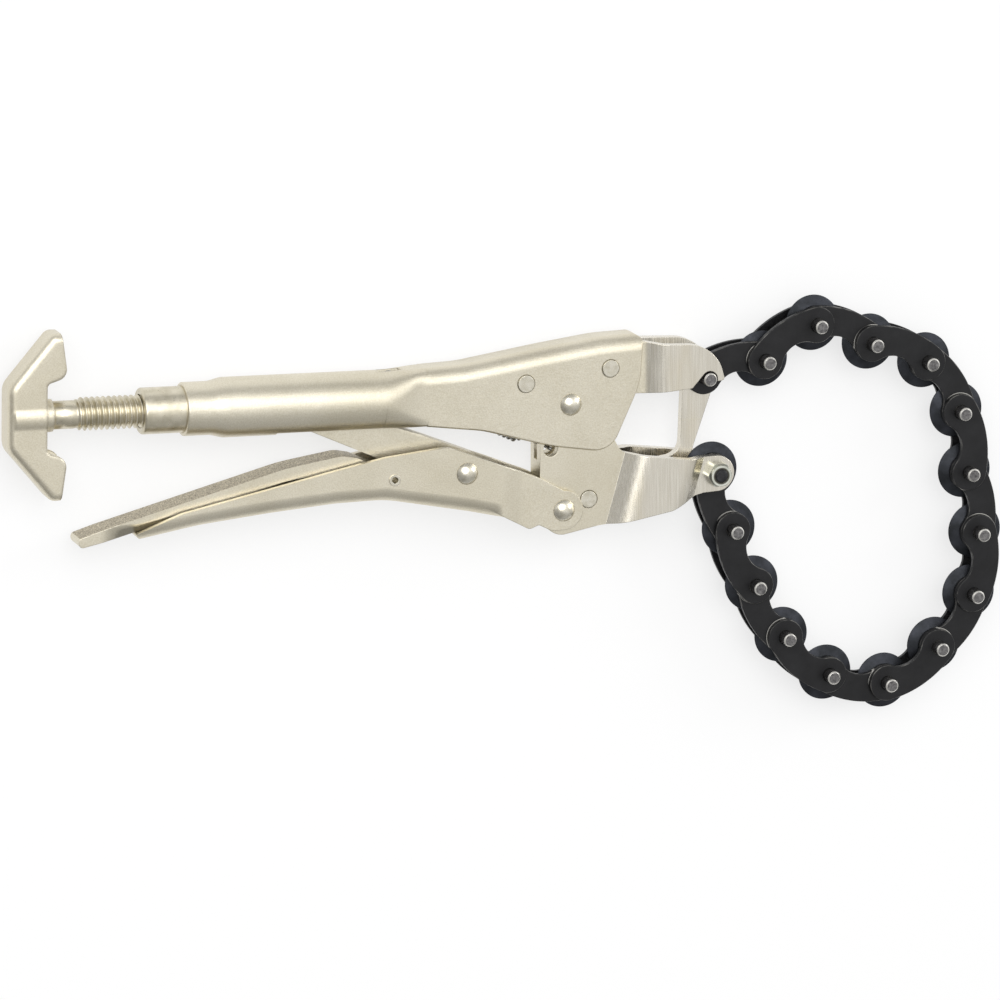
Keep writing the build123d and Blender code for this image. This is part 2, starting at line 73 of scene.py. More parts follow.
# Light from the surroundings: places and levels, from below the tool to above it and from left to right
sky_rise = ((0.05, 0.44), (0.16, 0.50), (0.28, 0.56), (0.39, 0.78),
            (0.52, 0.92), (0.63, 1.2), (0.78, 1.1), (0.92, 0.5))
sky_across = ((0.0, 0.50), (0.3, 0.72), (0.56, 1.0), (0.8, 1.0), (1.0, 0.85))

# Lamps: place in metres from the main pivot, size across and power
lamps = {"key": ((-0.45, 0.85, 1.75), 2.0, 20), "side": ((1.9, 0.7, 0.9), 0.8, 9)}

# Floor: half its size and its drop below the tool in metres, and how much it shines of itself
floor_half = 3.0
floor_drop = 0.0002
floor_glow = 0.7
floor_share = 0.7

# Flush rivets, in millimetres from the main pivot
flush_rivets = ((-14.5, 7.5), (12.9, 10.5), (6.6, -30.7))
flush_radius = 2.62
# Groove round each rivet: its width, and how much painted shade darkens it
groove_width = 0.32
groove_painted_shade = 0.6

# Rounded presswork of the handles: points of the edge line, half the width, reach of the rounding and which
# way the edge faces, and where this holds along the tool. The seam line parts the two handles.
roof = {"line": ((-46, 13.7), (-34, 14.1), (-8, 17.6), (10, 19.7), (24.3, 20.3)),
        "half_width": 6.6, "rounding": 5.0, "way": 1, "start": (-52, -44), "end": (60, 50)}
belly = {"line": ((-137.8, -32.3), (-119, -29.5), (-97.7, -27.4), (-76, -26.0), (-60, -26.0), (-33, -31.2),
                  (-21, -34.2)),
         "half_width": 8.0, "rounding": 4.6, "way": -1, "start": (-150, -140), "end": (-22, -25)}
seam = ((-150, -15), (-60, -8.6), (-40, -7.6), (-28, -10.9), (-6, -17.8), (14, -20))

# Where masks go from 0 to 1: faces across the tool, faces along the edge, and beyond the seam
outward_levels = (0.55, 0.75)
edge_levels = (0.2, 0.4)
seam_levels = (-0.5, 0.5)

# Bends in metres: small everywhere, wider on the knob and where the round rear of the handle turns flat
small_bend = 0.00035
wider_bend = 0.0010
knob_end = -157.0
neck_start = -66.0
neck_end = -40.0
neck_low = -10.0
neck_fade = 4.0

# Soft shoulder at the neck of the upper handle: where it comes and goes, and how much it evens out
shoulder_start = (-119.0, -116.5)
shoulder_end = (-104.0, -108.0)
shoulder_share = 0.8

# Rough upper web of the release lever
lever_half_width = 4.9
web_end = -50.0
web_fade = 4.0

# Brushed parts of the jaws: places where they start
lower_brushed = (21.8, 22.0)
upper_brushed = (24.5, 26.0)
inner_dullness = 0.5

# Folds of the lower jaw: lean in degrees, and for each crease its place and the slopes at its sides
fold_lean = 15.6
fold_top = -8.0
creases = ((21.9, 0.0, 45.5), (47.2, -35.7, 0.0))
crease_reach = 2.6
crease_half = 0.15

# Chain: pins from the main pivot, face of the inner plates, and the ring that the outer plates rub on them
chain_pins = [tuple((Vector(joint["pos_m"]) - main_pivot) / MM)
              for name, joint in joints.items() if name.startswith("chain_")]
inner_link_face = 3.2
wear_radius = 5.85
wear_width = 0.16

# Lock nut: its place, and the radii of the painted shade rings in the gap round the bolt and at the foot of its
# collar
anchor = (48.1, -25.1)
bolt_gap = 2.3
collar_foot = 3.5

# Screw and thread; the flats at root and crest are a share of half the pitch
screw_axis = Vector(joints["screw_travel"]["axis"])
screw_tilt = math.atan2(screw_axis.y, screw_axis.x)
screw_origin = (-110.0, 5.35)
thread_pitch = 1.75
thread_radius = 5.12
thread_depth = 0.95
thread_flat = 0.14
thread_start = -46.0
shank_radius = 4.3
shank_start = -57.0
screw_around = 48
rings_per_pitch = 10

# Return spring: its ends, its coil and wire, the loop at the handle and the hook at the jaw
spring_bar = (-56.8, 11.0)
spring_eye = (-5.8, -14.0)
spring_hook_radius = 1.7
spring_radius = 2.3
spring_wire = 0.6
spring_turns = 26
steps_per_turn = 16
loop_steps = 21
loop_half = 150
loop_lead = 4.0
hook_lead = 9.0
hook_run = 2.5
hook_bend = 1.6
hook_steps = 8
hook_end = 4.2
wire_around = 12


def at(x, y, z=0.0):
    """Place in metres of a point given in millimetres from the main pivot."""
    return main_pivot + Vector((x, y, z)) * MM


# Material helpers

def srgb(red, green, blue):
    """Linear colour of a screen colour from 0 to 255."""
    def linear(value):
        value /= 255
        return value / 12.92 if value <= 0.04045 else ((value + 0.055) / 1.055) ** 2.4
    return (linear(red), linear(green), linear(blue), 1.0)


def fill_ramp(node, stops):
    """Fill a ramp's node with stops, each a place and a colour or a grey level."""
    elements = node.color_ramp.elements
    while len(elements) < len(stops):
        elements.new(0.5)
    for element, (place, colour) in zip(elements, stops):
        element.position = place
        element.color = colour if isinstance(colour, tuple) else (colour, colour, colour, 1.0)


class Shader:
    """A material with a principled shader, and short ways to add nodes to it."""

    def __init__(self, name):
        self.material = bpy.data.materials.new(name)
        self.material.use_nodes = True
        self.nodes = self.material.node_tree.nodes
        self.links = self.material.node_tree.links
        self.surface = self.nodes["Principled BSDF"]
        self.place = self.node("ShaderNodeTexCoord").outputs["Object"]

    def node(self, kind, **settings):
        item = self.nodes.new(kind)
        for key, value in settings.items():
            setattr(item, key, value)
        return item

    def join(self, value, socket):
        """Link an output to a socket, or give the socket a plain value."""
        if isinstance(value, bpy.types.NodeSocket):
            self.links.new(value, socket)
        else:
            socket.default_value = value

    def scaled(self, scale):
        """Object coordinates stretched by three factors."""
        mapping = self.node("ShaderNodeMapping")
        self.join(scale, mapping.inputs["Scale"])
        self.join(self.place, mapping.inputs["Vector"])
        return mapping.outputs["Vector"]

    def noise(self, scale, detail=3.0, rough=0.55, stretch=None):
        item = self.node("ShaderNodeTexNoise")
        self.join(scale, item.inputs["Scale"])
        self.join(detail, item.inputs["Detail"])
        self.join(rough, item.inputs["Roughness"])
        self.join(self.scaled(stretch) if stretch else self.place, item.inputs["Vector"])
        return item.outputs["Fac"]

    def ramp(self, source, *stops):
        """Colour ramp: each stop is a place and a colour or a grey level."""
        item = self.node("ShaderNodeValToRGB")
        fill_ramp(item, stops)
        self.join(source, item.inputs["Fac"])
        return item.outputs["Color"]

    def mix(self, factor, first, second):
        """Colour between two others."""
        item = self.node("ShaderNodeMix", data_type="RGBA")
        for value, index in ((factor, 0), (first, 6), (second, 7)):
            self.join(value, item.inputs[index])
        return item.outputs[2]

    def mix_shaders(self, factor, first, second):
        item = self.node("ShaderNodeMixShader")
        for value, socket in zip((factor, first, second), item.inputs):
            self.join(value, socket)
        return item.outputs[0]

    def math(self, operation, first, second=0.0):
        item = self.node("ShaderNodeMath", operation=operation)
        for value, socket in zip((first, second), item.inputs):
            self.join(value, socket)
        return item.outputs[0]

    def bump(self, height, strength, distance, before=None):
        """Normal with a fine relief on it, or on another normal."""
        item = self.node("ShaderNodeBump")
        self.join(strength, item.inputs["Strength"])
        self.join(distance, item.inputs["Distance"])
        self.join(height, item.inputs["Height"])
        if before:
            self.join(before, item.inputs["Normal"])
        return item.outputs["Normal"]

    def rounded(self, radius):
        """Normal with the sharp edges of the solid rounded by a radius in metres, a number or an output."""
        item = self.node("ShaderNodeBevel", samples=6)
        self.join(radius, item.inputs["Radius"])
        return item.outputs["Normal"]

    def parts(self, vector):
        """The three parts of a vector."""
        split = self.node("ShaderNodeSeparateXYZ")
        self.join(vector, split.inputs[0])
        return split.outputs[0], split.outputs[1], split.outputs[2]

    def vector(self, *values):
        """A vector made of three numbers or outputs."""
        item = self.node("ShaderNodeCombineXYZ")
        for value, socket in zip(values, item.inputs):
            self.join(value, socket)
        return item.outputs[0]

    def unit(self, *values):
        """A vector of length 1 in the direction of three numbers or outputs."""
        item = self.node("ShaderNodeVectorMath", operation="NORMALIZE")
        self.join(self.vector(*values), item.inputs[0])
        return item.outputs[0]

    def millimetres(self):
        """Place on the tool at rest, in millimetres from the main pivot."""
        return [self.math("MULTIPLY", self.math("SUBTRACT", part, middle), 1 / MM)
                for part, middle in zip(self.parts(self.place), main_pivot)]

    def facing(self):
        """The way the surface faces on the tool at rest."""
        return self.parts(self.node("ShaderNodeTexCoord").outputs["Normal"])

    def upright(self):
        """How far the surface faces across the tool, from 0 to 1."""
        return self.math("ABSOLUTE", self.parts(self.node("ShaderNodeNewGeometry").outputs["True Normal"])[2])

    def step(self, value, low, high):
        """Smooth step from 0 at the first level to 1 at the second."""
        item = self.node("ShaderNodeMapRange", interpolation_type="SMOOTHSTEP")
        self.join(low, item.inputs["From Min"])
        self.join(high, item.inputs["From Max"])
        self.join(value, item.inputs["Value"])
        return item.outputs["Result"]

    def side_of(self, value):
        """1 where a value is above zero and -1 elsewhere."""
        return self.math("SUBTRACT", self.math("MULTIPLY", self.math("GREATER_THAN", value, 0.0), 2.0), 1.0)

    def product(self, first, *others):
        for other in others:
            first = self.math("MULTIPLY", first, other)
        return first

    def line(self, x, points):
        """Height of a line through points at x."""
        start, end = points[0][0], points[-1][0]
        low = min(height for _, height in points)
        rise = max(height for _, height in points) - low
        stops = [((place - start) / (end - start), (height - low) / rise) for place, height in points]
        share = self.math("MULTIPLY", self.math("SUBTRACT", x, start), 1 / (end - start))
        return self.math("ADD", self.math("MULTIPLY", self.ramp(share, *stops), rise), low)

    def ring(self, centres, radius, width):
        """Band round each of several places, 1 at its middle, in millimetres."""
        x, y, _ = self.millimetres()
        nearest = None
        for centre in centres:
            gap = self.node("ShaderNodeVectorMath", operation="DISTANCE")
            self.join(self.vector(x, y, 0.0), gap.inputs[0])
            self.join((*centre[:2], 0.0), gap.inputs[1])
            away = gap.outputs["Value"]
            nearest = self.math("MINIMUM", nearest, away) if nearest else away
        off = self.math("ABSOLUTE", self.math("SUBTRACT", nearest, radius))
        return self.math("SUBTRACT", 1.0, self.step(off, 0.3 * width, width))

    def turned(self, mask, normal, made):
        """Where the mask is 1, a normal given in the tool's own directions takes the place of another."""
        world = self.node("ShaderNodeVectorTransform", vector_type="NORMAL",
                          convert_from="OBJECT", convert_to="WORLD")
        self.join(made, world.inputs[0])
        item = self.node("ShaderNodeMix", data_type="VECTOR")
        for value, index in ((mask, 0), (normal, 4), (world.outputs[0], 5)):
            self.join(value, item.inputs[index])
        return item.outputs[1]

    def pressed_bends(self):
        """Radius in metres at the bends: wide on the wing knob and at the handle's neck, small elsewhere."""
        x, y, _ = self.millimetres()
        knob = self.step(x, knob_end, knob_end - 1.0)
        neck = self.product(self.step(x, neck_start, neck_start + neck_fade),
                            self.step(x, neck_end, neck_end - neck_fade),
                            self.step(y, neck_low, neck_low + 1.0))
        wide = self.math("MULTIPLY", self.math("MAXIMUM", knob, neck), wider_bend)
        return self.math("ADD", wide, small_bend)

    def pressed(self, normal, shape):
        """Normal of a pressed handle: a wide rounding along one edge and a crisp one along the other."""
        x, y, z = self.millimetres()
        way = shape["way"]
        past = self.math("MULTIPLY", self.math("SUBTRACT", y, self.line(x, shape["line"])), way)
        past = self.math("MAXIMUM", self.math("ADD", past, shape["rounding"]), 0.0)
        wide = self.math("SUBTRACT", self.math("ABSOLUTE", z), shape["half_width"] - shape["rounding"])
        side = self.side_of(z)
        across = self.math("MULTIPLY", self.math("MAXIMUM", wide, least), side)
        made = self.unit(0.0, self.math("MULTIPLY", past, way), across)
        own = self.facing()
        outward = self.step(self.math("MULTIPLY", own[2], side), *outward_levels)
        edge = self.product(self.step(self.math("MULTIPLY", own[1], way), *edge_levels),
                            self.step(past, 0.0, 1.0))
        beyond = self.math("MULTIPLY", self.math("SUBTRACT", y, self.line(x, seam)), way)
        here = self.product(self.step(x, *shape["start"]), self.step(x, *shape["end"]),
                            self.step(beyond, *seam_levels))
        return self.turned(self.math("MULTIPLY", self.math("MAXIMUM", outward, edge), here), normal, made)

    def soft_neck(self, normal):
        """Normal with a soft shoulder where the round rear of the upper handle is drawn in to its neck."""
        x, y, z = self.millimetres()
        up = self.math("SUBTRACT", y, screw_origin[1])
        made = self.unit(0.0, up, self.math("ADD", z, least))
        here = self.product(self.step(x, *shoulder_start), self.step(x, *shoulder_end),
                            self.step(self.math("SUBTRACT", y, self.line(x, seam)), 0.0, 1.0),
                            self.step(self.math("ABSOLUTE", self.facing()[0]), 0.9, 0.7), shoulder_share)
        return self.turned(here, normal, made)

    def lever_web(self):
        """1 on the upper web of the release lever, which the blasting left rough."""
        x, y, z = self.millimetres()
        below = self.math("SUBTRACT", self.line(x, seam), y)
        return self.product(self.step(self.math("ABSOLUTE", z), lever_half_width + 0.4, lever_half_width),
                            self.step(x, web_end, web_end - web_fade), self.step(below, 0.0, 1.0),
                            self.step(self.facing()[1], 0.7, 0.85))

    def along_folds(self):
        """Distance across the folds of the lower jaw, in millimetres from the main pivot."""
        x, y, _ = self.millimetres()
        lean = math.radians(fold_lean)
        return self.math("SUBTRACT", self.math("MULTIPLY", x, math.cos(lean)),
                         self.math("MULTIPLY", y, math.sin(lean)))

    def creased(self, normal):
        """Normal of the lower jaw with sharp creases at its two outer folds."""
        _, y, z = self.millimetres()
        place = self.along_folds()
        side = self.side_of(z)
        own = self.facing()
        face = self.math("MULTIPLY", self.side_of(own[2]), side)
        lean = math.radians(fold_lean)
        sheet = self.product(self.step(y, fold_top, fold_top - 1.0),
                             self.step(self.math("ABSOLUTE", z), 2.0, 2.5),
                             self.step(self.math("ABSOLUTE", own[2]), 0.4, 0.5))
        for middle, before, after in creases:
            off = self.math("SUBTRACT", place, middle)
            share = self.step(off, -crease_half, crease_half)
            turn = self.math("MULTIPLY", share, math.radians(after - before))
            turn = self.math("ADD", turn, math.radians(before))
            back = self.product(self.math("SINE", turn), face, -1.0)
            across = self.product(self.math("COSINE", turn), face, side)
            made = self.vector(self.math("MULTIPLY", back, math.cos(lean)),
                               self.math("MULTIPLY", back, -math.sin(lean)), across)
            near = self.step(self.math("ABSOLUTE", off), crease_reach + 0.3, crease_reach)
            normal = self.turned(self.math("MULTIPLY", near, sheet), normal, made)
        return normal

    def finish(self, colour, rough, normal, metal=1.0):
        """The material with its four main inputs filled."""
        names = ("Base Color", "Roughness", "Normal", "Metallic")
        for value, name in zip((colour, rough, normal, metal), names):
            self.join(value, self.surface.inputs[name])
        return self.material


def pearl(shader):
    """Pale nickel plate over blasted sheet: colour, roughness and fine grain."""
    patches = shader.noise(38, 2.0)
    colour = shader.ramp(patches, (0.36, srgb(216, 209, 188)), (0.64, srgb(230, 224, 206)))
    grain = shader.noise(2300, 3.0, 0.6)
    speckle = shader.ramp(grain, (0.34, srgb(203, 193, 168)), (0.66, srgb(238, 232, 216)))
    rough = shader.ramp(shader.noise(1500, 3.0), (0.3, 0.30), (0.7, 0.42))
    return shader.mix(0.42, colour, speckle), rough, grain


def grooved(shader, colour, normal):
    """Fine groove round each flush rivet: painted shade darkens its colour, and a bump sinks it."""
    groove = shader.ring(flush_rivets, flush_radius, groove_width)
    # Painted shade in the groove: the ring darkens the colour towards a dark grey
    colour = shader.mix(shader.math("MULTIPLY", groove, groove_painted_shade), colour, srgb(96, 90, 78))
    return colour, shader.bump(shader.math("SUBTRACT", 1.0, groove), 0.9, 0.0003, normal)


def plated_sheet():
    """Handles, lever and knob: grained plate with rounded presswork."""
    shader = Shader("plated_sheet")
    colour, rough, grain = pearl(shader)
    normal = shader.soft_neck(shader.rounded(shader.pressed_bends()))
    for shape in (roof, belly):
        normal = shader.pressed(normal, shape)
    colour, normal = grooved(shader, colour, normal)
    dusty = shader.ramp(grain, (0.40, srgb(118, 106, 84)), (0.60, srgb(206, 196, 170)))
    colour = shader.mix(shader.lever_web(), colour, dusty)
    soft = shader.bump(shader.noise(160, 3.0), 0.25, 0.0002, normal)
    return shader.finish(colour, rough, shader.bump(grain, 0.5, 0.00009, soft))


def jaw_plate():
    """Jaws: grained like the handles where they are flat, smoother and brushed beyond the first fold."""
    shader = Shader("jaw_plate")
    colour, rough, grain = pearl(shader)
    x, y, z = shader.millimetres()
    lower = shader.product(shader.step(shader.along_folds(), *lower_brushed),
                           shader.step(y, fold_top, fold_top - 1.0))
    upper = shader.product(shader.step(x, *upper_brushed), shader.step(y, fold_top - 1.0, fold_top))
    folded = shader.math("MAXIMUM", lower, upper)
    streaks = shader.noise(1.0, 4.0, 0.6, (2600, 60, 2600))
    brushed = shader.ramp(streaks, (0.3, srgb(216, 210, 196)), (0.7, srgb(234, 229, 217)))
    tint = shader.ramp(shader.noise(90, 3.0, 0.6, (1.0, 0.25, 1.0)), (0.55, 0.0), (0.75, 0.22))
    brushed = shader.mix(tint, brushed, srgb(222, 204, 158))
    colour = shader.mix(folded, colour, brushed)
    rough = shader.mix(folded, rough, shader.ramp(streaks, (0.3, 0.20), (0.7, 0.32)))
    normal = shader.creased(shader.rounded(0.0003))
    colour, normal = grooved(shader, colour, normal)
    soft = shader.bump(shader.noise(120, 2.0), 0.15, 0.0002, normal)
    fine = shader.mix(folded, grain, shader.math("MULTIPLY", streaks, 0.3))
    inward = shader.step(shader.math("MULTIPLY", shader.facing()[2], shader.side_of(z)), -0.3, -0.6)
    metal = shader.math("SUBTRACT", 1.0, shader.product(inward, upper, inner_dullness))
    return shader.finish(colour, rough, shader.bump(fine, 0.24, 0.00006, soft), metal)


def rivet_steel():
    """Rivet heads: smoother than the sheet, dented a little by the press."""
    shader = Shader("rivet_steel")
    colour = shader.ramp(shader.noise(600, 3.0), (0.35, srgb(212, 206, 188)), (0.65, srgb(232, 227, 212)))
    rough = shader.ramp(shader.noise(900, 3.0), (0.3, 0.20), (0.7, 0.34))
    soft = shader.bump(shader.noise(420, 2.0), 0.35, 0.00012, shader.rounded(0.00025))
    return shader.finish(colour, rough, shader.bump(shader.noise(2600, 2.0), 0.15, 0.00004, soft))


def screw_steel():
    """Plated screw and sleeve."""
    shader = Shader("screw_steel")
    colour = shader.ramp(shader.noise(300, 3.0), (0.35, srgb(202, 195, 174)), (0.65, srgb(224, 217, 198)))
    rough = shader.ramp(shader.noise(1400, 3.0), (0.3, 0.26), (0.7, 0.40))
    grain = shader.bump(shader.noise(1900, 3.0), 0.22, 0.00005, shader.rounded(0.0002))
    return shader.finish(colour, rough, grain)


def spring_steel():
    """Drawn spring wire."""
    shader = Shader("spring_steel")
    colour = shader.ramp(shader.noise(500, 3.0), (0.35, srgb(120, 120, 118)), (0.65, srgb(160, 158, 152)))
    rough = shader.ramp(shader.noise(1200, 2.0), (0.3, 0.25), (0.7, 0.38))
    return shader.finish(colour, rough, shader.bump(shader.noise(2500, 2.0), 0.15, 0.00003))


def chain_black():
    """Black oxide link plates: satin, a little dusty, rubbed bright along the pressed edges."""
    shader = Shader("chain_black")
    patches = shader.noise(140, 4.0, 0.6)
    colour = shader.ramp(patches, (0.35, srgb(14, 14, 16)), (0.7, srgb(27, 27, 29)))
    edge = shader.ramp(shader.upright(), (0.55, 1.0), (0.72, 1.0), (0.9, 0.0))
    side = shader.ramp(shader.upright(), (0.2, 0.0), (0.5, 1.0))
    rub = shader.product(edge, side, shader.ramp(shader.noise(260, 3.0), (0.46, 0.06), (0.66, 0.8)))
    colour = shader.mix(rub, colour, srgb(118, 116, 112))
    height = shader.math("ABSOLUTE", shader.millimetres()[2])
    inner = shader.step(height, inner_link_face + 0.3, inner_link_face + 0.1)
    patch = shader.ramp(shader.noise(70, 2.0), (0.48, 0.0), (0.56, 1.0))
    worn = shader.product(shader.ring(chain_pins, wear_radius, wear_width), inner, patch)
    colour = shader.mix(worn, colour, srgb(190, 188, 182))
    rough = shader.ramp(shader.noise(900, 4.0, 0.65), (0.3, 0.34), (0.7, 0.52))
    soft = shader.bump(shader.noise(1600, 4.0, 0.7), 0.22, 0.00006, shader.rounded(0.00025))
    return shader.finish(colour, rough, soft, 0.3)


def wheel_black():
    """Cutter wheels: blackened, a little bluish."""
    shader = Shader("wheel_black")
    patches = shader.noise(180, 3.0)
    colour = shader.ramp(patches, (0.35, srgb(42, 44, 47)), (0.7, srgb(62, 64, 70)))
    rough = shader.ramp(shader.noise(1100, 3.0), (0.3, 0.38), (0.7, 0.50))
    soft = shader.bump(shader.noise(1500, 3.0), 0.15, 0.00005, shader.rounded(0.0002))
    return shader.finish(colour, rough, soft, 0.85)


def pin_steel():
    """Bare turned pins: a dull rough face and a brighter rim."""
    shader = Shader("pin_steel")
    colour = shader.ramp(shader.noise(1300, 4.0, 0.65), (0.32, srgb(84, 83, 84)), (0.68, srgb(146, 144, 143)))
    edge = shader.ramp(shader.upright(), (0.3, 0.0), (0.6, 1.0), (0.85, 1.0), (0.95, 0.0))
    colour = shader.mix(edge, colour, srgb(216, 214, 208))
    rough = shader.ramp(shader.noise(1700, 3.0), (0.3, 0.3), (0.7, 0.5))
    grain = shader.bump(shader.noise(2100, 4.0), 0.5, 0.00008, shader.rounded(0.0002))
    return shader.finish(colour, rough, grain)


def bolt_black():
    """Black bolt."""
    shader = Shader("bolt_black")
    colour = shader.ramp(shader.noise(700, 3.0), (0.35, srgb(28, 28, 30)), (0.65, srgb(52, 52, 54)))
    rough = shader.ramp(shader.noise(1500, 3.0), (0.3, 0.35), (0.7, 0.55))
    grain = shader.bump(shader.noise(1800, 3.0), 0.35, 0.00006, shader.rounded(0.0002))
    return shader.finish(colour, rough, grain, 0.5)


def zinc_nut():
    """Bright zinc on the lock nut, with painted shade in the gap round the bolt and at the foot of its collar."""
    shader = Shader("zinc_nut")
    colour = shader.ramp(shader.noise(420, 3.0), (0.35, srgb(206, 209, 196)), (0.65, srgb(236, 237, 226)))
    # Painted shade: a dark ring in the gap round the bolt and a fainter one at the foot of the collar
    gap = shader.math("MAXIMUM", shader.ring([anchor], bolt_gap, 0.5),
                      shader.math("MULTIPLY", shader.ring([anchor], collar_foot, 0.4), 0.7))
    colour = shader.mix(gap, colour, srgb(88, 86, 78))
    rough = shader.ramp(shader.noise(1300, 3.0), (0.3, 0.14), (0.7, 0.26))
    grain = shader.bump(shader.noise(1500, 3.0), 0.15, 0.00004, shader.rounded(0.00015))
    return shader.finish(colour, rough, grain)


materials = {make.__name__: make() for make in (
    plated_sheet, jaw_plate, rivet_steel, screw_steel, spring_steel, chain_black, wheel_black, pin_steel,
    bolt_black, zinc_nut)}

for part in frame["record"]["subparts"]:
    data = frame["nodes"][part["node"]].data
    data.materials.clear()
    data.materials.append(materials[part["material_slot"]])


# Pieces made as meshes

def new_piece(name, vertices, faces, slot, body):
    """A mesh piece that takes its finish from a slot and rides on a body, unless the body is None."""
    mesh = bpy.data.meshes.new(name)
    mesh.from_pydata([tuple(v) for v in vertices], [], faces)
    mesh.validate()
    mesh.shade_smooth()
    mesh.materials.append(materials[slot])
    piece = bpy.data.objects.new(name, mesh)
    bpy.context.scene.collection.objects.link(piece)
    if body:
        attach(piece, body)
    return piece


def grid_faces(rows, columns):
    """Quads between neighbouring rings of equal length."""
    faces = []
    for row in range(rows - 1):
        for column in range(columns):
            after = (column + 1) % columns
            faces.append((row * columns + column, row * columns + after,
                          (row + 1) * columns + after, (row + 1) * columns + column))
    return faces


def on_screw(distance, radius, angle):
    """Point at a distance along the screw's axis, a radius from it and an angle round it."""
    side = Vector((-math.sin(screw_tilt), math.cos(screw_tilt), 0))
    along = Vector((math.cos(screw_tilt), math.sin(screw_tilt), 0))
    away = side * math.cos(angle) + Vector((0, 0, 1)) * math.sin(angle)
    return at(*screw_origin) + (along * distance + away * radius) * MM


def thread_height(phase):
    """Height of the thread from 0 at the root to 1 at the crest, with small flats at both."""
    wave = abs(2 * (phase % 1.0) - 1)
    return min(max((wave - thread_flat) / (1 - 2 * thread_flat), 0.0), 1.0)


def make_screw():
    """Adjusting screw with its helical thread, plain shank and chamfered tip."""
    _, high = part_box("adjusting_screw")
    tip = (high.x - at(*screw_origin).x) / MM / math.cos(screw_tilt)
    tip -= math.sin(abs(screw_tilt)) * thread_radius
    rings = [(shank_start, 0.0, 0), (shank_start, shank_radius, 0), (thread_start - 0.6, shank_radius, 0)]
    steps = int((tip - 1.2 - thread_start) / thread_pitch * rings_per_pitch)
    for step in range(steps + 1):
        rings.append((thread_start + step * thread_pitch / rings_per_pitch, thread_radius, 1))
    rings += [(tip - 1.0, thread_radius - 1.0, 0), (tip, thread_radius - 1.5, 0), (tip, 0.0, 0)]
    vertices = []
    for distance, radius, threaded in rings:
        for column in range(screw_around):
            turn = column / screw_around
            reach = radius
            if threaded:
                run_in = min((distance - thread_start) / thread_pitch, 1.0)
                depth = thread_depth * (1 - thread_height(distance / thread_pitch - turn))
                reach = thread_radius - depth - (1 - run_in) * (thread_depth - depth) * 0.9
            vertices.append(on_screw(distance, reach, 2 * math.pi * turn))
    faces = grid_faces(len(rings), screw_around)
    screw = new_piece("screw_thread", vertices, faces, "screw_steel", "adjusting_screw")
    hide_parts("adjusting_screw")


def wire_along(points, radius):
    """Vertices and faces of a round wire along a list of points."""
    vertices = []
    previous = Vector((0, 0, 1))
    for index, point in enumerate(points):
        ahead = (points[min(index + 1, len(points) - 1)] - points[max(index - 1, 0)]).normalized()
        side = (previous - ahead * previous.dot(ahead)).normalized()
        other = ahead.cross(side)
        previous = side
        for column in range(wire_around):
            angle = 2 * math.pi * column / wire_around
            vertices.append(point + (side * math.cos(angle) + other * math.sin(angle)) * radius)
    faces = grid_faces(len(points), wire_around)
    faces.append(tuple(range(wire_around))[::-1])
    faces.append(tuple(range((len(points) - 1) * wire_around, len(points) * wire_around)))
    return vertices, faces


def make_spring():
    """Return spring: close coils with a loop at the handle and a hook at the jaw."""
    start = Vector((*spring_bar, 0))
    end = Vector((*spring_eye, 0))
    along = (end - start).normalized()
    side = Vector((-along.y, along.x, 0))
    across = Vector((0, 0, 1))
    coil_start = spring_hook_radius + loop_lead
    coil_end = (end - start).length - hook_lead
    path = []
    for step in range(loop_steps + 1):
        angle = math.radians(-loop_half + step / loop_steps * 2 * loop_half)
        path.append(start + (side * math.sin(angle) - along * math.cos(angle)) * spring_hook_radius)
    for step in range(spring_turns * steps_per_turn + 1):
        share = step / (spring_turns * steps_per_turn)
        angle = 2 * math.pi * spring_turns * share - math.pi / 2
        taper = min(1.0, share * spring_turns * 1.5, (1 - share) * spring_turns * 1.5)
        radius = spring_radius * (0.25 + 0.75 * taper)
        place = start + along * (coil_start + (coil_end - coil_start) * share)
        path.append(place + (side * math.cos(angle) + across * math.sin(angle)) * radius)
    path.append(start + along * (coil_end + hook_run))
    path.append(end - along * hook_bend)
    for step in range(1, hook_steps + 1):
        angle = math.radians(step / hook_steps * 90)
        back = along * (1 - math.sin(angle))
        path.append(end + (across * (1 - math.cos(angle)) - back) * hook_bend)
    path.append(end + across * hook_end)
    vertices, faces = wire_along([main_pivot + point * MM for point in path], spring_wire * MM)
    spring = new_piece("spring_coil", vertices, faces, "spring_steel", None)
    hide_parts("return_spring")
    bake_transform(spring)


make_screw()
make_spring()


# Floor, light and camera

def white_floor():
    """White floor that keeps the tool's shadow; the camera and mirrors see it lit a little from within."""
    shader = Shader("floor_white")
    shader.join((0.93, 0.93, 0.93, 1), shader.surface.inputs["Base Color"])
    shader.join(0.9, shader.surface.inputs["Roughness"])
    shader.join(0.0, shader.surface.inputs["Specular IOR Level"])
    surface = shader.surface.outputs[0]
    glow = shader.node("ShaderNodeEmission")
    shader.join(floor_glow / floor_share, glow.inputs["Strength"])
    rays = shader.node("ShaderNodeLightPath")
    seen = rays.outputs["Is Camera Ray"]
    for kind in ("Is Glossy Ray", "Is Transmission Ray"):
        seen = shader.math("MAXIMUM", seen, rays.outputs[kind])
    lit = shader.mix_shaders(floor_share, surface, glow.outputs[0])
    total = shader.mix_shaders(seen, surface, lit)
    shader.join(total, shader.nodes["Material Output"].inputs["Surface"])
    return shader.material


def make_floor():
    mesh = bpy.data.meshes.new("floor")
    corners = [(x * floor_half, y * floor_half, -floor_drop) for x, y in ((-1, -1), (1, -1), (1, 1), (-1, 1))]
    mesh.from_pydata(corners, [], [(0, 1, 2, 3)])
    mesh.materials.append(white_floor())
    floor = bpy.data.objects.new("floor", mesh)
    bpy.context.scene.collection.objects.link(floor)


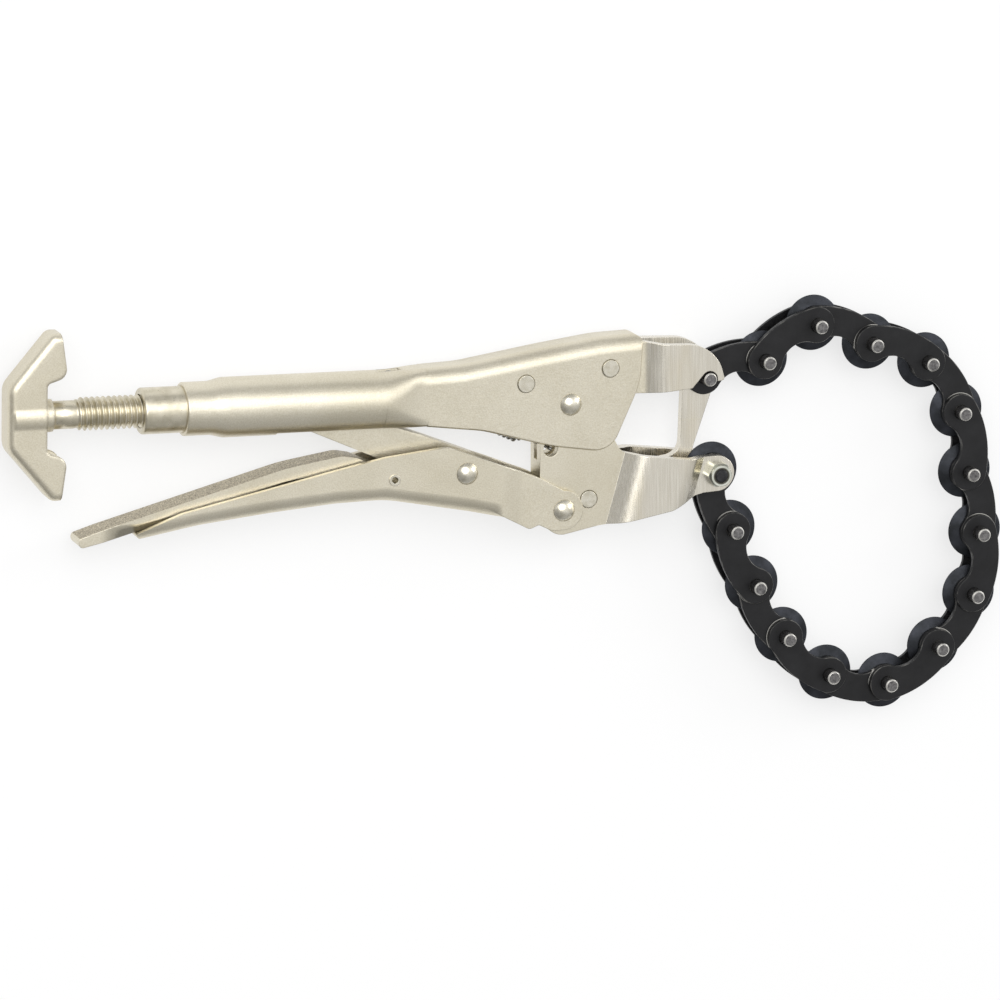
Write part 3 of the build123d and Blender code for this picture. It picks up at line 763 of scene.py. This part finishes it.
def make_world():
    """Surroundings whose light changes with height and from left to right."""
    world = bpy.data.worlds.new("studio")
    bpy.context.scene.world = world
    world.use_nodes = True
    nodes = world.node_tree.nodes
    links = world.node_tree.links
    split = nodes.new("ShaderNodeSeparateXYZ")
    links.new(nodes.new("ShaderNodeTexCoord").outputs["Generated"], split.inputs[0])
    level = nodes.new("ShaderNodeMath")
    level.operation = "MULTIPLY"
    for socket, way, stops in ((level.inputs[0], "Y", sky_rise), (level.inputs[1], "X", sky_across)):
        spread = nodes.new("ShaderNodeMapRange")
        spread.inputs["From Min"].default_value = -1.0
        links.new(split.outputs[way], spread.inputs["Value"])
        ramp = nodes.new("ShaderNodeValToRGB")
        fill_ramp(ramp, stops)
        links.new(spread.outputs[0], ramp.inputs["Fac"])
        links.new(ramp.outputs["Color"], socket)
    links.new(level.outputs[0], nodes["Background"].inputs["Color"])


def make_lamp(name, place, size, power):
    """Soft round lamp, placed in metres from the main pivot and turned to the tool."""
    lamp = bpy.data.lights.new(name, "AREA")
    lamp.shape = "DISK"
    lamp.size = size
    lamp.energy = power
    item = bpy.data.objects.new(name, lamp)
    bpy.context.scene.collection.objects.link(item)
    item.location = main_pivot + Vector(place)
    item.rotation_euler = (-Vector(place)).to_track_quat("-Z", "Y").to_euler()


def make_camera():
    """Camera placed and turned as the photograph's."""
    azimuth = math.radians(camera_azimuth)
    elevation = math.radians(camera_elevation)
    target = at(*camera_target)
    back = Vector((math.sin(azimuth) * math.cos(elevation), math.sin(elevation),
                   math.cos(azimuth) * math.cos(elevation)))
    right = Vector((0, 1, 0)).cross(back).normalized()
    up = back.cross(right)
    data = bpy.data.cameras.new("camera")
    data.sensor_width = sensor_width
    data.lens = pixels_per_millimetre * camera_distance / image_pixels * sensor_width
    data.clip_start = 0.05
    data.clip_end = 20
    camera = bpy.data.objects.new("camera", data)
    bpy.context.scene.collection.objects.link(camera)
    turn = Matrix((right, up, back)).transposed().to_4x4()
    camera.matrix_world = Matrix.Translation(target + back * camera_distance * MM) @ turn
    bpy.context.scene.camera = camera


make_floor()
make_world()
for name, (place, size, power) in lamps.items():
    make_lamp(name, place, size, power)
make_camera()

bpy.context.scene.view_settings.view_transform = "Standard"
